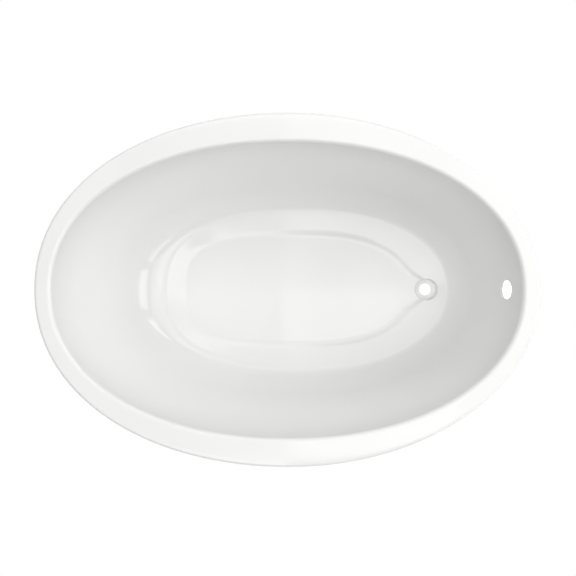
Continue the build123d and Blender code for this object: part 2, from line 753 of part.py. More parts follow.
def make_foot_stud(x, y):
    """Threaded stud with a ball at its foot and a hexagon for a spanner."""
    ball_z = BALL_BASE + BALL_RADIUS
    hex_top = STUD_HEX_BASE + STUD_HEX_HEIGHT
    stud = Pos(0, 0, ball_z) * Sphere(BALL_RADIUS)
    stud += disc(STUD_NECK_RADIUS, STUD_HEX_BASE - ball_z, z=ball_z)
    stud += hexagon(FOOT_HEX_FLATS - 5, STUD_HEX_HEIGHT, z=STUD_HEX_BASE)
    shank = disc(STUD_RADIUS, tube_top + STUD_ABOVE_TUBE - hex_top, z=hex_top)
    shank = chamfer(shank.edges().group_by(Axis.Z)[-1], 1)
    return Pos(x, y, 0) * (stud + shank)


def make_jam_nut(x, y):
    """Nut that locks the stud against the tube."""
    nut = hexagon(FOOT_HEX_FLATS, JAM_NUT_HEIGHT, x, y, tube_bottom - JAM_NUT_HEIGHT)
    return nut - disc(STUD_RADIUS + STUD_CLEARANCE, CUT, x, y, 0)


def write(node, shape):
    """One STEP file for a sub-part. A list of solids is written as one node."""
    if isinstance(shape, list):
        shape = Compound(children=[one.solid() for one in shape])
    export_step(shape, f"parts/{node}.step")


ties = make_ties()


def main():
    os.makedirs("parts", exist_ok=True)
    write("basin", make_basin())
    write("basin_laminate", make_basin_laminate())
    write("skirt", make_skirt())
    write("skirt_laminate", make_skirt_laminate())
    write("rim_bond", make_rim_bond())
    write("bedding", make_bedding())
    write("base_board", make_base_board())
    for name, x in tube_places.items():
        write(f"cross_tube_{name}", make_tube(x))
    for name, y in bar_places.items():
        write(f"side_bar_{name}", make_bar(y))
    write("tube_caps", make_tube_caps())
    write("foot_inserts", make_foot_inserts())
    write("bar_inserts", make_bar_inserts())
    write("bar_bolts", make_bar_bolts())
    write("board_screws", make_board_screws())
    for name, tie in ties.items():
        write(f"tie_{name}", make_tie(tie))
        write(f"tie_block_{name}", make_tie_block(tie))
    write("tie_bolts", make_tie_bolts())
    write("tie_nuts", make_tie_nuts())
    write("tie_screws", make_tie_screws())
    for name, (x, y) in foot_places.items():
        write(f"foot_pad_{name}", make_foot_pad(x, y))
        write(f"foot_stud_{name}", make_foot_stud(x, y))
        write(f"jam_nut_{name}", make_jam_nut(x, y))


if __name__ == "__main__":
    main()
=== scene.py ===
"""Looks of an oval acrylic bathtub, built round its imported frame."""

import json
import logging
import math
from collections.abc import Callable, Sequence
from dataclasses import dataclass, field
from enum import Enum

import bmesh
import bpy
import numpy as np
from mathutils import Matrix, Vector

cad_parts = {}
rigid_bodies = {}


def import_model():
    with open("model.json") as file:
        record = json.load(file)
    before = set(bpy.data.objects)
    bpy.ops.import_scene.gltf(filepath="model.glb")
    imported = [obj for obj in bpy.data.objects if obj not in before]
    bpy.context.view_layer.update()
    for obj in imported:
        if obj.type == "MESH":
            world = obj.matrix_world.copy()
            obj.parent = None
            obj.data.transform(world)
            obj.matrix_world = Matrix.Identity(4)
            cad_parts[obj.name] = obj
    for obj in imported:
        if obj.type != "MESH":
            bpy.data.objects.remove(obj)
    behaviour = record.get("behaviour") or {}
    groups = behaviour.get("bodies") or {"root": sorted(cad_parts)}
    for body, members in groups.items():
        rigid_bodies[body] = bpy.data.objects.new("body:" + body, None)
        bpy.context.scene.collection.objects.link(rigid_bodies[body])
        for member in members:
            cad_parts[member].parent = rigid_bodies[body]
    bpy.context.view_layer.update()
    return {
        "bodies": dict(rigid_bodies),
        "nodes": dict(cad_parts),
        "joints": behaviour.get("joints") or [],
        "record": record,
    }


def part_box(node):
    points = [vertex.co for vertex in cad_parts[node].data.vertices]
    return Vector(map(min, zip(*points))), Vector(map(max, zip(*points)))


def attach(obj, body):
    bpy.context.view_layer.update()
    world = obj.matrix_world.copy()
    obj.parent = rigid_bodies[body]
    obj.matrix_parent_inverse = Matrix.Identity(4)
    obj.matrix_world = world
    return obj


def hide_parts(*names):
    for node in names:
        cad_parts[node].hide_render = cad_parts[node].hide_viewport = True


LOG = logging.getLogger("bathtub")
MM = 0.001
GLOW_OFFSET = Vector((14 * MM, 0, -62 * MM))
GLOW_AIM = Vector((1, 0, -0.16))
GLOW_SIZE = (0.09, 0.1)
GLOW_POWER = 0.11
Ring = np.ndarray
Outline = Callable[[np.ndarray], tuple[np.ndarray, np.ndarray]]
Height = float | Callable[[np.ndarray], np.ndarray]
Colour = tuple[float, float, float]


class Join(Enum):
    """What a boolean does with its tool."""

    CUT = "DIFFERENCE"
    UNITE = "UNION"


# ------------------------------------------------------------------ outlines
def oval(head: float, drain: float, half: float, squareness: tuple[float, float]) -> Outline:
    """Closed oval between two ends on X.

    Args:
        head: X of the head end, in metres.
        drain: X of the drain end.
        half: Half width.
        squareness: Superellipse exponents at the head end and at the drain end.

    Returns:
        A function from angles to X and Y.
    """
    centre, reach = (head + drain) / 2, (drain - head) / 2

    def at(angle: np.ndarray) -> tuple[np.ndarray, np.ndarray]:
        """X and Y at some angles."""
        cosine, sine = np.cos(angle), np.sin(angle)
        power = (squareness[1] + squareness[0]) / 2
        power = power + (squareness[1] - squareness[0]) / 2 * cosine
        total = (np.abs(cosine) / reach) ** power + (np.abs(sine) / half) ** power
        radius = total ** (-1 / power)
        return centre + radius * cosine, radius * sine

    return at


def spouted(outline: Outline, centre: float, reach: float, tip: float, decay: float) -> Outline:
    """Outline with a spout that runs on along +X.

    Args:
        outline: The oval without its spout.
        centre: Not used.
        reach: Length of the spout.
        tip: Rounding of its tip, in degrees.
        decay: How fast it narrows, in degrees.

    Returns:
        The new outline.
    """

    def at(angle: np.ndarray) -> tuple[np.ndarray, np.ndarray]:
        """X and Y at some angles."""
        x, y = outline(angle)
        aside = np.degrees(np.arctan2(np.sin(angle), np.cos(angle)))
        extra = reach * np.exp(-(np.hypot(aside, tip) - tip) / decay)
        return x + extra * np.cos(angle), y + extra * np.sin(angle)

    return at


def grown(outline: Outline, offset: float) -> Outline:
    """The same outline, moved outwards along its own normal.

    Args:
        outline: The outline.
        offset: How far it moves, in metres.

    Returns:
        The new outline.
    """
    step = 1e-4

    def at(angle: np.ndarray) -> tuple[np.ndarray, np.ndarray]:
        """X and Y at some angles."""
        (x, y), (xa, ya), (xb, yb) = outline(angle), outline(angle - step), outline(angle + step)
        run = np.hypot(xb - xa, yb - ya)
        return x + offset * (yb - ya) / run, y - offset * (xb - xa) / run

    return at


def between(start: Outline, end: Outline, share: float) -> Outline:
    """Outline a share of the way from one outline to another.

    Args:
        start: The first outline.
        end: The second outline.
        share: Share of the way, from 0 to 1.

    Returns:
        The new outline.
    """

    def at(angle: np.ndarray) -> tuple[np.ndarray, np.ndarray]:
        """X and Y at some angles."""
        (xa, ya), (xb, yb) = start(angle), end(angle)
        return xa + (xb - xa) * share, ya + (yb - ya) * share

    return at


def crowded(count: int, crowding: float) -> np.ndarray:
    """Angles round an outline, closer together at the drain end.

    Args:
        count: How many angles.
        crowding: How strongly they crowd, from 0 to less than 1.

    Returns:
        The angles, in radians.
    """
    turn = np.arange(count) * 2 * math.pi / count
    return turn - crowding * np.sin(turn)


def ring(outline: Outline, angles: np.ndarray, height: Height) -> Ring:
    """Points of an outline at a height.

    Args:
        outline: The outline.
        angles: Angles of the points.
        height: Height of the ring, or a function from X to height.

    Returns:
        The points, one in each row.
    """
    x, y = outline(angles)
    z = height(x) if callable(height) else np.full_like(x, height)
    return np.stack([x, y, z], axis=1)


def rounded(before: Ring, corner: Ring, after: Ring, reach: float, steps: int) -> list[Ring]:
    """Rings that round a corner between two stretches of a profile.

    Args:
        before: Ring at the start of the first stretch.
        corner: Ring at the corner.
        after: Ring at the end of the second stretch.
        reach: How far from the corner the rounding starts, in metres.
        steps: How many rings it takes.

    Returns:
        The rings, in order.
    """

    def toward(target: Ring) -> Ring:
        """Points on the way from the corner to a target, at the rounding's start."""
        way = target - corner
        length = np.linalg.norm(way, axis=1, keepdims=True)
        return corner + way / length * np.minimum(reach, 0.45 * length)

    start, end = toward(before), toward(after)
    shares = np.linspace(0, 1, steps)
    return [start * (1 - t) ** 2 + corner * 2 * t * (1 - t) + end * t**2 for t in shares]


# ------------------------------------------------------------------ mesh helpers
def deselect_all() -> None:
    """Leave nothing selected, in object mode."""
    if bpy.context.mode != "OBJECT":
        bpy.ops.object.mode_set(mode="OBJECT")
    bpy.ops.object.select_all(action="DESELECT")


def activate(piece: bpy.types.Object) -> None:
    """Make one piece the only selected and active one.

    Args:
        piece: The piece.
    """
    deselect_all()
    piece.select_set(True)
    bpy.context.view_layer.objects.active = piece


def named(name: str) -> bpy.types.Object:
    """Name the newest primitive and its mesh.

    Args:
        name: The name of both.

    Returns:
        The primitive.
    """
    piece = bpy.context.object
    piece.name = name
    piece.data.name = name
    return piece


def settle(piece: bpy.types.Object) -> bpy.types.Object:
    """Apply a piece's place, turn and size, so that its place is in its mesh.

    Args:
        piece: The piece.

    Returns:
        The same piece.
    """
    activate(piece)
    bpy.ops.object.transform_apply(location=True, rotation=True, scale=True)
    return piece


def modify(piece: bpy.types.Object, kind: str, **settings: object) -> None:
    """Add a modifier and apply it.

    Args:
        piece: The piece to change.
        kind: The modifier's type.
        settings: Its settings, by name.
    """
    activate(piece)
    modifier = piece.modifiers.new(kind.title(), kind)
    for key, value in settings.items():
        setattr(modifier, key, value)
    bpy.ops.object.modifier_apply(modifier=modifier.name)


def smooth(piece: bpy.types.Object, angle: float = 35.0) -> None:
    """Shade smooth, but keep edges sharper than an angle."""
    activate(piece)
    bpy.ops.object.shade_smooth_by_angle(angle=math.radians(angle))


def lofted(name: str, rings: Sequence[Ring], close_end: bool = False) -> bpy.types.Object:
    """Sheet through rings: a circle, extruded ring by ring and shaped as it goes.

    Args:
        name: The piece's name.
        rings: Rings of points, all of the same count.
        close_end: Whether the last ring is filled.

    Returns:
        The piece.
    """
    deselect_all()
    bpy.ops.mesh.primitive_circle_add(vertices=len(rings[0]), radius=1.0)
    piece = named(name)
    bpy.ops.object.mode_set(mode="EDIT")
    mesh = bmesh.from_edit_mesh(piece.data)
    mesh.verts.ensure_lookup_table()
    start = min(mesh.verts, key=lambda v: (abs(math.atan2(v.co.y, v.co.x)), v.index))
    order = sorted(mesh.verts, key=lambda v: math.atan2(v.co.y, v.co.x) % (2 * math.pi - 1e-4))
    order = order[order.index(start):] + order[: order.index(start)]
    for vertex, place in zip(order, rings[0]):
        vertex.co = place
    bmesh.update_edit_mesh(piece.data)
    indices = [v.index for v in order]
    for points in rings[1:]:
        bpy.ops.mesh.extrude_edges_move()
        mesh = bmesh.from_edit_mesh(piece.data)
        mesh.verts.ensure_lookup_table()
        fresh = []
        for index, place in zip(indices, points):
            old = mesh.verts[index]
            new = next(e.other_vert(old) for e in old.link_edges if e.other_vert(old).select)
            new.co = place
            fresh.append(new)
        mesh.verts.index_update()
        indices = [v.index for v in fresh]
        bmesh.update_edit_mesh(piece.data)
    if close_end:
        bpy.ops.mesh.extrude_edges_move()
        bpy.ops.mesh.merge(type="CENTER")
    bpy.ops.object.mode_set(mode="OBJECT")
    return piece


def cap_start(piece: bpy.types.Object) -> None:
    """Close the open end of a lofted piece and point its faces outwards.

    Args:
        piece: The piece.
    """
    activate(piece)
    bpy.ops.object.mode_set(mode="EDIT")
    bpy.ops.mesh.select_all(action="DESELECT")
    bpy.ops.mesh.select_non_manifold()
    bpy.ops.mesh.extrude_edges_move()
    bpy.ops.mesh.merge(type="CENTER")
    bpy.ops.mesh.select_all(action="SELECT")
    bpy.ops.mesh.normals_make_consistent(inside=False)
    bpy.ops.object.mode_set(mode="OBJECT")


def turned(
    name: str, profile: Sequence[tuple[float, float]], sides: int, centre: Vector
) -> bpy.types.Object:
    """Round piece about an upright axis, closed at both ends.

    Args:
        name: The piece's name.
        profile: Radius and height of each ring, from the foot to the top.
        sides: How many sides it has.
        centre: Where its axis meets height 0.

    Returns:
        The piece.
    """
    angles = np.arange(sides) * 2 * math.pi / sides
    unit = np.stack([np.cos(angles), np.sin(angles), np.zeros(sides)], axis=1)
    rings = [unit * radius + np.array([0, 0, height]) for radius, height in profile]
    piece = lofted(name, rings, close_end=True)
    cap_start(piece)
    piece.location = centre
    return settle(piece)


def combine(piece: bpy.types.Object, tool: bpy.types.Object, join: Join) -> None:
    """Cut a tool out of a piece, or unite it with the piece, and remove the tool.

    Args:
        piece: The piece to change.
        tool: The tool.
        join: What happens to the tool's volume.
    """
    modify(piece, "BOOLEAN", object=tool, operation=join.value, solver="EXACT")
    bpy.data.objects.remove(tool, do_unlink=True)


# ------------------------------------------------------------------ materials
class Shader:
    """A node material with one Principled shader."""

    def __init__(self, name: str, colour: Colour, roughness: float, **sockets: float) -> None:
        """Start a material.

        Args:
            name: The material's name.
            colour: Base colour.
            roughness: Roughness.
            sockets: Other constants of the shader, by socket name with underscores.
        """
        self.material = bpy.data.materials.new(name)
        self.material.use_nodes = True
        self.tree = self.material.node_tree
        self.principled = self.tree.nodes["Principled BSDF"]
        self.principled.inputs["Base Color"].default_value = (*colour, 1.0)
        self.principled.inputs["Roughness"].default_value = roughness
        for key, value in sockets.items():
            self.principled.inputs[key.replace("_", " ")].default_value = value
        self.coordinates = self.add("ShaderNodeTexCoord").outputs["Object"]

    def add(self, kind: str, **settings: object) -> bpy.types.Node:
        """Add a node.

        Args:
            kind: The node's type.
            settings: Its properties, by name.

        Returns:
            The node.
        """
        node = self.tree.nodes.new(kind)
        for key, value in settings.items():
            setattr(node, key, value)
        return node

    def link(self, source: bpy.types.NodeSocket, target: bpy.types.NodeSocket) -> None:
        """Join two sockets."""
        self.tree.links.new(source, target)

    def mapped(self, scale: Sequence[float]) -> bpy.types.NodeSocket:
        """Object coordinates stretched along the axes.

        Args:
            scale: Scale on each axis.

        Returns:
            The stretched coordinates.
        """
        node = self.add("ShaderNodeMapping")
        self.link(self.coordinates, node.inputs["Vector"])
        node.inputs["Scale"].default_value = scale
        return node.outputs["Vector"]

    def noise(
        self, scale: float, detail: float, where: bpy.types.NodeSocket | None = None
    ) -> bpy.types.NodeSocket:
        """Noise between 0 and 1.

        Args:
            scale: Its scale.
            detail: Its detail.
            where: Coordinates, or none for the object's own.

        Returns:
            The noise.
        """
        node = self.add("ShaderNodeTexNoise")
        self.link(where or self.coordinates, node.inputs["Vector"])
        node.inputs["Scale"].default_value = scale
        node.inputs["Detail"].default_value = detail
        return node.outputs["Fac"]

    def cells(self, scale: float) -> bpy.types.Node:
        """Voronoi cells.

        Args:
            scale: Their scale.

        Returns:
            The node.
        """
        node = self.add("ShaderNodeTexVoronoi")
        self.link(self.coordinates, node.inputs["Vector"])
        node.inputs["Scale"].default_value = scale
        return node

    def ramp(
        self, value: bpy.types.NodeSocket, *stops: tuple[float, Colour]
    ) -> bpy.types.NodeSocket:
        """Colours along a value.

        Args:
            value: The value.
            stops: Place and colour of each stop.

        Returns:
            The colour.
        """
        node = self.add("ShaderNodeValToRGB")
        self.link(value, node.inputs["Fac"])
        elements = node.color_ramp.elements
        while len(elements) < len(stops):
            elements.new(0.5)
        for element, (place, colour) in zip(elements, stops):
            element.position = place
            element.color = (*colour, 1.0)
        return node.outputs["Color"]

    def range(
        self, value: bpy.types.NodeSocket, low: float, high: float
    ) -> bpy.types.NodeSocket:
        """A value from 0 to 1, spread between two others.

        Args:
            value: The value.
            low: What 0 becomes.
            high: What 1 becomes.

        Returns:
            The new value.
        """
        node = self.add("ShaderNodeMapRange")
        self.link(value, node.inputs["Value"])
        node.inputs["To Min"].default_value = low
        node.inputs["To Max"].default_value = high
        return node.outputs["Result"]

    def bump(self, height: bpy.types.NodeSocket, strength: float, distance: float) -> None:
        """Raise the surface by a height, over any earlier bump.

        Args:
            height: The height, from 0 to 1.
            strength: Strength of the bump.
            distance: What a height of 1 stands for, in metres.
        """
        node = self.add("ShaderNodeBump")
        self.link(height, node.inputs["Height"])
        node.inputs["Strength"].default_value = strength
        node.inputs["Distance"].default_value = distance
        earlier = self.principled.inputs["Normal"]
        if earlier.is_linked:
            self.link(earlier.links[0].from_socket, node.inputs["Normal"])
        self.link(node.outputs["Normal"], earlier)

    def colour(self, source: bpy.types.NodeSocket) -> None:
        """Drive the base colour."""
        self.link(source, self.principled.inputs["Base Color"])

    def roughness(self, source: bpy.types.NodeSocket) -> None:
        """Drive the roughness."""
        self.link(source, self.principled.inputs["Roughness"])


@dataclass(frozen=True)
class Acrylic:
    """Cast white acrylic, polished, with the faint ripple of a vacuum-formed sheet."""

    colour: Colour = (0.80, 0.80, 0.793)
    roughness: float = 0.09
    ripple: float = 0.0004

    def build(self) -> bpy.types.Material:
        """Make the material.

        Returns:
            The material.
        """
        shader = Shader("white_acrylic", self.colour, self.roughness, IOR=1.49)
        cloud = shader.noise(3.0, 2.0)
        shade = [tuple(c * f for c in self.colour) for f in (0.985, 1.0)]
        shader.colour(shader.ramp(cloud, (0.3, shade[0]), (0.7, shade[1])))
        wear = shader.noise(40.0, 3.0)
        shader.roughness(shader.range(wear, self.roughness * 0.8, self.roughness * 1.2))
        shader.bump(shader.noise(9.0, 1.0), 0.25, self.ripple)
        shader.bump(shader.noise(260.0, 1.0), 0.04, self.ripple * 0.2)
        return shader.material


@dataclass(frozen=True)
class GlassFibre:
    """Sprayed chopped strands under resin."""

    colour: Colour = (0.83, 0.82, 0.76)

    def build(self) -> bpy.types.Material:
        """Make the material.

        Returns:
            The material.
        """
        shader = Shader("glass_fibre", self.colour, 0.5)
        fibres = shader.noise(180.0, 6.0, shader.mapped((1.0, 0.25, 1.0)))
        crossing = shader.noise(170.0, 6.0, shader.mapped((0.25, 1.0, 0.6)))
        pale = tuple(min(1.0, c * 1.08) for c in self.colour)
        dark = tuple(c * 0.88 for c in self.colour)
        shader.colour(shader.ramp(fibres, (0.35, dark), (0.65, pale)))
        shader.roughness(shader.range(crossing, 0.35, 0.65))
        shader.bump(fibres, 0.5, 0.0012)
        shader.bump(crossing, 0.5, 0.001)
        shader.bump(shader.noise(14.0, 3.0), 0.4, 0.003)
        return shader.material


@dataclass(frozen=True)
class CastResin:
    """Poured or gunned filler, matt, with small pits and sags."""

    name: str
    colour: Colour

    def build(self) -> bpy.types.Material:
        """Make the material.

        Returns:
            The material.
        """
        shader = Shader(self.name, self.colour, 0.55)
        mottled = shader.noise(30.0, 4.0)
        dark = tuple(c * 0.9 for c in self.colour)
        shader.colour(shader.ramp(mottled, (0.3, dark), (0.7, self.colour)))
        shader.roughness(shader.range(mottled, 0.45, 0.7))
        shader.bump(shader.noise(90.0, 3.0), 0.3, 0.0006)
        return shader.material


@dataclass(frozen=True)
class Plywood:
    """Rotary-cut plywood: grain along X on its faces, plies at its edges."""

    plies: int = 9
    thickness: float = 0.018
    base: float = 0.0

    def build(self) -> bpy.types.Material:
        """Make the material.

        Returns:
            The material.
        """
        light, mid, dark = (0.66, 0.50, 0.32), (0.55, 0.39, 0.23), (0.33, 0.21, 0.12)
        shader = Shader("plywood", mid, 0.62)
        grain = shader.noise(26.0, 8.0, shader.mapped((0.35, 3.2, 1.0)))
        pores = shader.noise(420.0, 3.0, shader.mapped((0.06, 1.0, 1.0)))
        face = shader.ramp(grain, (0.30, dark), (0.48, mid), (0.62, light))
        split = shader.add("ShaderNodeSeparateXYZ")
        shader.link(shader.coordinates, split.inputs["Vector"])
        wave = shader.add("ShaderNodeMath", operation="PINGPONG")
        shift = shader.add("ShaderNodeMath", operation="SUBTRACT")
        shader.link(split.outputs["Z"], shift.inputs[0])
        shift.inputs[1].default_value = self.base
        shader.link(shift.outputs["Value"], wave.inputs[0])
        wave.inputs[1].default_value = self.thickness / self.plies
        plies = shader.range(wave.outputs["Value"], 0.0, 1.0)
        plies.node.inputs["From Max"].default_value = self.thickness / self.plies
        edge = shader.ramp(plies, (0.42, light), (0.58, tuple(c * 1.1 for c in dark)))
        normal = shader.add("ShaderNodeNewGeometry").outputs["Normal"]
        upright = shader.add("ShaderNodeSeparateXYZ")
        shader.link(normal, upright.inputs["Vector"])
        flatness = shader.add("ShaderNodeMath", operation="ABSOLUTE")
        shader.link(upright.outputs["Z"], flatness.inputs[0])
        mix = shader.add("ShaderNodeMix", data_type="RGBA")
        shader.link(flatness.outputs["Value"], mix.inputs["Factor"])
        shader.link(edge, mix.inputs["A"])
        shader.link(face, mix.inputs["B"])
        shader.colour(mix.outputs["Result"])
        shader.roughness(shader.range(grain, 0.5, 0.75))
        shader.bump(grain, 0.3, 0.0004)
        shader.bump(pores, 0.3, 0.0002)
        return shader.material


@dataclass(frozen=True)
class CoatedSteel:
    """Steel under zinc: hot-dipped with spangles, or plated and bright."""

    name: str
    colour: Colour
    roughness: float
    spangle: float

    def build(self) -> bpy.types.Material:
        """Make the material.

        Returns:
            The material.
        """
        shader = Shader(self.name, self.colour, self.roughness, Metallic=1.0)
        cells = shader.cells(self.spangle)
        tint = shader.ramp(
            cells.outputs["Color"],
            (0.1, tuple(c * 0.82 for c in self.colour)),
            (0.9, tuple(min(1.0, c * 1.08) for c in self.colour)),
        )
        shader.colour(tint)
        wear = shader.noise(60.0, 4.0)
        shader.roughness(shader.range(wear, self.roughness * 0.75, self.roughness * 1.3))
        shader.bump(cells.outputs["Distance"], 0.06, 0.0004)
        shader.bump(shader.noise(300.0, 2.0), 0.1, 0.0002)
        return shader.material


@dataclass(frozen=True)
class Moulding:
    """Moulded rubber or plastic with a fine spark-eroded grain."""

    name: str
    colour: Colour
    roughness: float

    def build(self) -> bpy.types.Material:
        """Make the material.

        Returns:
            The material.
        """
        shader = Shader(self.name, self.colour, self.roughness)
        haze = shader.noise(25.0, 4.0)
        pale = tuple(c * 1.5 + 0.01 for c in self.colour)
        shader.colour(shader.ramp(haze, (0.3, self.colour), (0.75, pale)))
        shader.roughness(shader.range(haze, self.roughness * 0.85, self.roughness * 1.15))
        shader.bump(shader.noise(900.0, 2.0), 0.25, 0.0002)
        return shader.material


class Finishes:
    """Every material of the bath, by the record's slot."""

    def __init__(self, board_low: float) -> None:
        """Build them.

        Args:
            board_low: Height of the board's underside.
        """
        self.by_slot: dict[str, bpy.types.Material] = {
            "white_acrylic": Acrylic().build(),
            "glass_fibre": GlassFibre().build(),
            "adhesive": CastResin("adhesive", (0.80, 0.80, 0.77)).build(),
            "resin_bed": CastResin("resin_bed", (0.70, 0.66, 0.55)).build(),
            "plywood": Plywood(base=board_low).build(),
            "galvanised_steel": CoatedSteel(
                "galvanised_steel", (0.60, 0.62, 0.64), 0.42, 55.0
            ).build(),
            "zinc_plated_steel": CoatedSteel(
                "zinc_plated_steel", (0.74, 0.74, 0.70), 0.28, 300.0
            ).build(),
            "black_plastic": Moulding("black_plastic", (0.02, 0.02, 0.022), 0.45).build(),
            "foot_rubber": Moulding("foot_rubber", (0.025, 0.025, 0.025), 0.6).build(),
        }

    def dress(self, piece: bpy.types.Object, slot: str) -> None:
        """Give a new piece one finish and its slot's name.

        Args:
            piece: The piece.
            slot: The record's slot.
        """
        piece.data.materials.clear()
        piece.data.materials.append(self.by_slot[slot])

    def dress_nodes(self, frame: dict) -> None:
        """Give every CAD node the finish of its own slot.
        """
        for entry in frame["record"]["subparts"]:
            node = frame["nodes"][entry["node"]]
            for place in node.material_slots:
                place.material = self.by_slot[entry["material_slot"]]


# ------------------------------------------------------------------ basin
@dataclass
class Basin:
    """The formed sheet: flat rim, rolled edges, wall, sloping band, well, drain and overflow."""

    finishes: Finishes
    sheet: float = 5 * MM
    head_deck: float = 51 * MM
    drain_deck: float = 54 * MM
    side_deck: float = 87 * MM
    lip_depth: float = 38 * MM
    outer_roll: float = 10 * MM
    inner_roll: float = 12 * MM
    rim_squareness: tuple[float, float] = (2.1, 2.0)
    opening_squareness: tuple[float, float] = (2.13, 2.13)
    head_reach: float = 254 * MM
    drain_reach: float = 111 * MM
    side_reach: float = 154 * MM
    foot_squareness: tuple[float, float] = (2.5, 2.15)
    floor_height: float = 130 * MM
    floor_fall: float = 8 * MM
    foot_rise: float = 30 * MM
    foot_fillet: float = 110 * MM
    fillet_share: float = 0.34
    wall_ease: float = 120 * MM
    head_band: float = 51 * MM
    drain_band: float = 126 * MM
    side_band: float = 67 * MM
    well_squareness: tuple[float, float] = (3.1, 2.5)
    well_rise: float = 14 * MM
    well_draft: float = 9 * MM
    well_slope: float = 21 * MM
    steep_until: float = 4.0
    steep_blend: float = 8.0
    foot_bend: float = 4 * MM
    edge_bend: float = 8 * MM
    low_bend: float = 14 * MM
    spout_reach: float = 90 * MM
    spout_tip: float = 4.0
    spout_decay: float = 3.9
    drain_from_end: float = 232 * MM
    drain_radius: float = 23.8 * MM
    recess_radius: float = 41 * MM
    recess_depth: float = 6 * MM
    recess_draft: float = 3 * MM
    overflow_radius: float = 29.5 * MM
    overflow_drop: float = 111 * MM
    pocket_flare: float = 0.8 * MM
    drain_flare: float = 1 * MM
    overflow_flare: float = 1.5 * MM
    sides: int = 96
    points: int = 288
    crowding: float = 0.72
    angles: np.ndarray = field(init=False)

    def __post_init__(self) -> None:
        """Work out the outlines from the CAD basin's box."""
        low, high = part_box("basin")
        self.half_length = (high.x - low.x) / 2
        self.half_width = (high.y - low.y) / 2
        self.top = high.z
        self.lip = self.top - self.lip_depth
        self.angles = crowded(self.points, self.crowding)
        self.drain_x = self.half_length - self.drain_from_end
        opening_head = self.head_deck - self.half_length
        opening_drain = self.half_length - self.drain_deck
        opening_half = self.half_width - self.side_deck
        foot_head = opening_head + self.head_reach
        foot_drain = opening_drain - self.drain_reach
        foot_half = opening_half - self.side_reach
        self.well_head, well_drain = foot_head + self.head_band, foot_drain - self.drain_band
        self.well_middle = (self.well_head + well_drain) / 2
        self.rim = oval(-self.half_length, self.half_length, self.half_width, self.rim_squareness)
        self.opening = oval(opening_head, opening_drain, opening_half, self.opening_squareness)
        self.foot = oval(foot_head, foot_drain, foot_half, self.foot_squareness)
        well = oval(self.well_head, well_drain, foot_half - self.side_band, self.well_squareness)
        self.well = spouted(
            well, self.well_middle, self.spout_reach, self.spout_tip, self.spout_decay
        )
        self.foot_z = self.floor_height + self.foot_rise
        self.wall_height = self.top - self.inner_roll - self.foot_z

    def floor_at(self, x: np.ndarray | float) -> np.ndarray | float:
        """Height of the floor's falling plane.

        Args:
            x: One X or several.

        Returns:
            The height at each.
        """
        run = self.drain_x - self.well_head
        return self.floor_height + self.floor_fall * (self.drain_x - x) / run

    def wall_share(self, depth: float) -> float:
        """How far the wall has leant in.

        Args:
            depth: Depth under the roll.

        Returns:
            Share of the way from the opening to the foot, from 0 to 1.
        """
        ease = self.wall_ease
        lean = depth - ease / 2 if depth > ease else depth**2 / (2 * ease)
        into = max(0.0, (depth - (self.wall_height - self.foot_fillet)) / self.foot_fillet)
        curl = 1 - math.sqrt(max(0.0, 1 - into**2))
        straight = (1 - self.fillet_share) * lean / (self.wall_height - ease / 2)
        return self.fillet_share * curl + straight

    def wall_outline(self, depth: float) -> Outline:
        """Outline of the wall at a depth under the roll."""
        return between(self.opening, self.foot, self.wall_share(depth))

    def ring(self, outline: Outline, height: Height) -> Ring:
        """Points of one outline of the basin."""
        return ring(outline, self.angles, height)

    def rim_rings(self) -> list[Ring]:
        """Lip, outer roll, deck and inner roll.

        Returns:
            The rings, from the lip's edge to the top of the wall.
        """
        edge = self.top - self.outer_roll
        rings = [self.ring(self.rim, self.lip + (edge - self.lip) * k / 4) for k in range(4)]
        for k in range(11):
            turn = math.radians(9 * k)
            shrink = -self.outer_roll * (1 - math.cos(turn))
            height = edge + self.outer_roll * math.sin(turn)
            rings.append(self.ring(grown(self.rim, shrink), height))
        outer, inner = grown(self.rim, -self.outer_roll), grown(self.opening, self.inner_roll)
        rings += [self.ring(between(outer, inner, k / 8), self.top) for k in range(1, 8)]
        bend = self.top - self.inner_roll
        for k in range(13):
            turn = math.radians(90 - 7.5 * k)
            out = self.inner_roll * (1 - math.cos(turn))
            height = bend + self.inner_roll * math.sin(turn)
            rings.append(self.ring(grown(self.opening, out), height))
        return rings

    def wall_rings(self) -> list[Ring]:
        """Wall and the fillet at its foot.

        Returns:
            The rings, from the top of the wall down.
        """
        start = self.wall_height - self.foot_fillet
        depths = [start * k / 26 for k in range(1, 27)]
        turns = [math.radians(4.5 * k) for k in range(1, 21)]
        depths += [start + self.foot_fillet * math.sin(turn) for turn in turns]
        bend = self.top - self.inner_roll
        return [self.ring(self.wall_outline(d), bend - d) for d in depths]

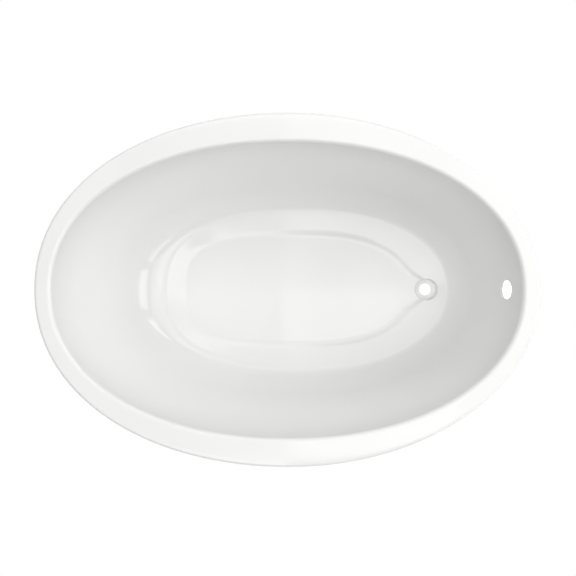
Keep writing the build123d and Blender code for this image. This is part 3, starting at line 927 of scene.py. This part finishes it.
    def floor_rings(self, wall: Ring) -> list[Ring]:
        """Band, the well's edge, its side and its floor.

        Args:
            wall: The last ring of the wall but one, above the band's edge.

        Returns:
            The rings, in order, down to the middle of the floor.
        """
        foot = self.ring(self.foot, self.foot_z)
        edge = self.ring(self.well, self.floor_height + self.well_rise)
        aside = np.degrees(np.abs(np.arctan2(np.sin(self.angles), np.cos(self.angles))))
        gentle = np.clip((aside - self.steep_until) / self.steep_blend, 0.0, 1.0)[:, None]
        gentle = gentle * gentle * (3 - 2 * gentle)
        steep = self.ring(grown(self.well, -self.well_draft), self.floor_at)
        sloped = self.ring(grown(self.well, -self.well_slope), self.floor_at)
        low = steep + (sloped - steep) * gentle
        middle = np.array([self.well_middle, 0.0, float(self.floor_at(self.well_middle))])
        inside = low + (middle - low) * 0.2
        foot_bend = rounded(wall, foot, edge, self.foot_bend, 4)
        edge_bend = rounded(foot, edge, low, self.edge_bend, 8)
        low_bend = rounded(edge, low, inside, self.low_bend, 9)
        rings = foot_bend
        rings += [foot_bend[-1] + (edge_bend[0] - foot_bend[-1]) * k / 8 for k in range(1, 8)]
        rings += edge_bend
        rings.append((edge_bend[-1] + low_bend[0]) / 2)
        rings += low_bend
        rings += [low_bend[-1] + (middle - low_bend[-1]) * k / 8 for k in range(1, 8)]
        return rings

    def pocket_tool(self, grow: float, flare: float) -> bpy.types.Object:
        """Round tool with the shape of the pocket round the drain.

        Args:
            grow: How much larger than the pocket it is.
            flare: How far it widens where it leaves the floor.

        Returns:
            The tool.
        """
        low, wide = self.recess_radius - self.recess_draft + grow, self.recess_radius + grow
        depth = self.recess_depth
        profile = [(low - 2.5 * MM, 0.0), (low - 0.9 * MM, 0.4 * MM), (low + 0.2 * MM, 1.6 * MM)]
        profile += [(low + (wide - low) * k / 3, depth * k / 3) for k in (1, 2)]
        profile += [(wide + flare * (k / 4) ** 2, depth * (0.7 + 0.3 * k / 4)) for k in range(5)]
        profile.append((wide + flare, self.foot_z - self.floor_height + depth + grow))
        base = self.floor_height - depth - grow
        return turned("pocket_tool", profile, self.sides, Vector((self.drain_x, 0, base)))

    def boss(self, wall: list[Ring]) -> bpy.types.Object:
        """Back of the pocket, trimmed just under the basin's inner face.

        Args:
            wall: Rings of the wall.

        Returns:
            The boss, ready to be joined on.
        """
        boss = self.pocket_tool(self.sheet, 0.0)
        water = lofted("water", wall[-4:-1] + self.floor_rings(wall[-2]), close_end=True)
        cap_start(water)
        water.location = (0, 0, -1.5 * MM)
        combine(boss, settle(water), Join.CUT)
        return boss

    def build(self) -> bpy.types.Object:
        """Make the basin and let it stand for its CAD node.

        Returns:
            The basin.
        """
        wall = self.wall_rings()
        rings = self.rim_rings() + wall[:-1] + self.floor_rings(wall[-2])
        basin = lofted("basin_shell", rings, close_end=True)
        up = sum(p.normal.z * p.area for p in basin.data.polygons)
        if up < 0:
            basin.data.flip_normals()
        modify(basin, "SOLIDIFY", thickness=self.sheet, offset=-1.0, use_rim=True)
        combine(basin, self.boss(wall), Join.UNITE)
        combine(basin, self.pocket_tool(0.0, self.pocket_flare), Join.CUT)
        seat = self.floor_height - self.recess_depth
        radius, flare = self.drain_radius, self.drain_flare
        drain = [(radius, -20 * MM), (radius, -flare)]
        drain += [(radius + flare * k * k / 9, -flare + flare * k / 3) for k in (1, 2, 3)]
        drain.append((radius + flare + 0.2 * MM, 12 * MM))
        tool = turned("drain_tool", drain, self.sides, Vector((self.drain_x, 0, seat)))
        combine(basin, tool, Join.CUT)
        combine(basin, self.overflow_tool(), Join.CUT)
        smooth(basin, 32)
        self.finishes.dress(basin, "white_acrylic")
        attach(basin, "root")
        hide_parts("basin")
        return basin

    def overflow_place(self) -> Vector:
        """Middle of the overflow hole on the wall's face.

        Returns:
            Its place.
        """
        depth = self.overflow_drop - self.inner_roll
        x = self.wall_outline(depth)(np.zeros(1))[0][0]
        return Vector((float(x), 0, self.top - self.overflow_drop))

    def overflow_tool(self) -> bpy.types.Object:
        """Round tool square to the wall at the overflow, flared a little at the wall's face.

        Returns:
            The tool.
        """
        place = self.overflow_place()
        depth = self.overflow_drop - self.inner_roll + MM
        lower = self.wall_outline(depth)(np.zeros(1))[0][0]
        inward = Vector((-MM, 0, place.x - float(lower))).normalized()
        radius, flare = self.overflow_radius, self.overflow_flare
        profile = [(radius, -40 * MM), (radius, -flare)]
        profile += [(radius + flare * k * k / 9, -flare + flare * k / 3) for k in (1, 2, 3)]
        profile.append((radius + flare, 40 * MM))
        tool = turned("overflow_tool", profile, self.sides, Vector((0, 0, 0)))
        turn = inward.to_track_quat("Z", "Y").to_matrix().to_4x4()
        tool.data.transform(Matrix.Translation(place) @ turn)
        return tool


# ------------------------------------------------------------------ skirt
@dataclass
class Skirt:
    """The outer shell, from the floor gap to the flange under the rim."""

    finishes: Finishes
    basin: Basin
    sheet: float = 4 * MM
    inset: float = 10 * MM
    taper: float = 112 * MM
    curve: float = 1.5
    wall_share: float = 0.994
    bend_drop: float = 0.6 * MM
    flange: tuple[float, ...] = (1.0, 2.5, 6.0, 12.0, 20.0, 28.0)

    def build(self) -> bpy.types.Object:
        """Make the skirt and let it stand for its CAD node.

        Returns:
            The skirt.
        """
        low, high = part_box("skirt")
        height = high.z - low.z
        angles = crowded(self.basin.points, 0.3)
        rings = []
        for k in range(41):
            z = low.z + height * k / 40 * self.wall_share
            inset = self.inset + self.taper * ((high.z - z) / height) ** self.curve
            rings.append(ring(grown(self.basin.rim, -inset), angles, z))
        for k, extra in enumerate(self.flange):
            inset = self.inset + extra * MM
            z = high.z - (self.bend_drop if k == 0 else 0.0)
            rings.append(ring(grown(self.basin.rim, -inset), angles, z))
        skirt = lofted("skirt_shell", rings)
        outward = sum(p.normal.x * p.center.x for p in skirt.data.polygons)
        if outward < 0:
            skirt.data.flip_normals()
        modify(skirt, "SOLIDIFY", thickness=self.sheet, offset=-1.0, use_even_offset=True)
        limit = math.radians(50)
        modify(
            skirt, "BEVEL", width=0.8 * MM, segments=2, limit_method="ANGLE", angle_limit=limit
        )
        smooth(skirt, 40)
        self.finishes.dress(skirt, "white_acrylic")
        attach(skirt, "root")
        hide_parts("skirt")
        return skirt


# ------------------------------------------------------------------ studio
@dataclass(frozen=True)
class Softbox:
    """A rectangular studio light."""

    name: str
    place: tuple[float, float, float]
    target: tuple[float, float, float]
    size: tuple[float, float]
    power: float

    def build(self) -> bpy.types.Object:
        """Add the light.

        Returns:
            The light.
        """
        data = bpy.data.lights.new(self.name, "AREA")
        data.shape = "RECTANGLE"
        data.size, data.size_y = self.size
        data.energy = self.power
        light = bpy.data.objects.new(self.name, data)
        light.location = self.place
        aim = Vector(self.target) - Vector(self.place)
        light.rotation_euler = aim.to_track_quat("-Z", "Y").to_euler()
        bpy.context.scene.collection.objects.link(light)
        return light


@dataclass
class Studio:
    """Pale floor, even sky, a ceiling of soft tiles, side panels and the camera over the bath."""

    sky: float = 0.106
    backdrop: float = 0.9
    floor_size: float = 80.0
    floor_glow: float = 1.0
    camera_height: float = 1.6
    camera_aside: tuple[float, float] = (0.0015, 0.0055)
    lens: float = 33.4
    sensor: float = 36.0
    tile: float = 1.2
    ceiling: float = 2.75
    tile_watts: tuple[tuple[float, ...], ...] = (
        (5.4, 6.3, 5.5, 12.2),
        (10.6, 4.8, 3.0, 8.9),
        (2.0, 11.8, 5.7, 9.4),
        (0.0, 6.3, 6.5, 0.0),
    )
    panel_height: float = 1.9
    panel_target: tuple[float, float, float] = (0.0, 0.0, 0.5)
    panel_size: tuple[float, float] = (1.8, 1.4)
    side_panels: tuple[tuple[float, float, float], ...] = (
        (3.4, 0.0, 24.0),
        (2.6, 2.2, 25.5),
        (2.6, -2.2, 18.5),
        (0.0, 3.4, 13.2),
    )

    def lights(self, overflow: Softbox) -> list[Softbox]:
        """Every light.

        Args:
            overflow: The small light in the cavity behind the overflow hole.

        Returns:
            Ceiling tiles from the head end to the drain end, side panels, and the small light.
        """
        lights = [overflow]
        for row, watts in enumerate(self.tile_watts):
            for column, power in enumerate(watts):
                x, y = (row - 1.5) * self.tile, (column - 1.5) * self.tile
                name, size = f"tile_{row}_{column}", (self.tile, self.tile)
                if power > 0:
                    lights.append(Softbox(name, (x, y, self.ceiling), (x, y, 0), size, power))
        for number, (x, y, power) in enumerate(self.side_panels):
            place = (x, y, self.panel_height)
            name = f"side_{number}"
            lights.append(Softbox(name, place, self.panel_target, self.panel_size, power))
        return lights

    def build_floor(self) -> None:
        """White floor that glows evenly from above and is clear from below."""
        deselect_all()
        bpy.ops.mesh.primitive_plane_add(size=self.floor_size)
        floor = named("studio_floor")
        material = bpy.data.materials.new("studio_floor")
        material.use_nodes = True
        tree = material.node_tree
        tree.nodes.clear()
        output = tree.nodes.new("ShaderNodeOutputMaterial")
        geometry = tree.nodes.new("ShaderNodeNewGeometry")
        mix = tree.nodes.new("ShaderNodeMixShader")
        glow = tree.nodes.new("ShaderNodeEmission")
        glow.inputs["Strength"].default_value = self.floor_glow
        clear = tree.nodes.new("ShaderNodeBsdfTransparent")
        tree.links.new(geometry.outputs["Backfacing"], mix.inputs["Fac"])
        tree.links.new(glow.outputs["Emission"], mix.inputs[1])
        tree.links.new(clear.outputs["BSDF"], mix.inputs[2])
        tree.links.new(mix.outputs["Shader"], output.inputs["Surface"])
        floor.data.materials.append(material)

    def build_sky(self) -> None:
        """Dim even sky that lights the bath, behind a pale backdrop that only shows."""
        world = bpy.data.worlds.new("studio_sky")
        bpy.context.scene.world = world
        world.use_nodes = True
        tree = world.node_tree
        background = tree.nodes["Background"]
        background.inputs["Color"].default_value = (1.0, 1.0, 1.0, 1.0)
        background.inputs["Strength"].default_value = self.sky
        backdrop = tree.nodes.new("ShaderNodeBackground")
        backdrop.inputs["Color"].default_value = (self.backdrop,) * 3 + (1.0,)
        path = tree.nodes.new("ShaderNodeLightPath")
        mix = tree.nodes.new("ShaderNodeMixShader")
        tree.links.new(path.outputs["Is Camera Ray"], mix.inputs["Fac"])
        tree.links.new(background.outputs["Background"], mix.inputs[1])
        tree.links.new(backdrop.outputs["Background"], mix.inputs[2])
        tree.links.new(mix.outputs["Shader"], tree.nodes["World Output"].inputs["Surface"])

    def build_camera(self, rim_top: float) -> None:
        """Camera straight above the bath.

        Args:
            rim_top: Height of the rim.
        """
        data = bpy.data.cameras.new("camera")
        data.lens = self.lens
        data.sensor_width = self.sensor
        camera = bpy.data.objects.new("camera", data)
        camera.location = (*self.camera_aside, rim_top + self.camera_height)
        bpy.context.scene.collection.objects.link(camera)
        bpy.context.scene.camera = camera

    def build(self, rim_top: float, overflow: Softbox) -> None:
        """Set up the whole studio.

        Args:
            rim_top: Height of the rim.
            overflow: The small light behind the overflow hole.
        """
        self.build_floor()
        self.build_sky()
        for light in self.lights(overflow):
            light.build()
        self.build_camera(rim_top)
        view = bpy.context.scene.view_settings
        view.view_transform = "Standard"
        view.look = "None"


def main() -> None:
    """Build every piece round the frame and light it."""
    logging.basicConfig(level=logging.INFO, format="%(name)s: %(message)s")
    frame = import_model()
    finishes = Finishes(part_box("base_board")[0].z)
    finishes.dress_nodes(frame)
    basin = Basin(finishes)
    pieces = [basin.build(), Skirt(finishes, basin).build()]
    for piece in pieces:
        LOG.info("%s: %d faces", piece.name, len(piece.data.polygons))
    place = basin.overflow_place() + GLOW_OFFSET
    target = tuple(place + GLOW_AIM)
    glow = Softbox("overflow_glow", tuple(place), target, GLOW_SIZE, GLOW_POWER)
    Studio().build(basin.top, glow)


if __name__ == "__main__":
    main()
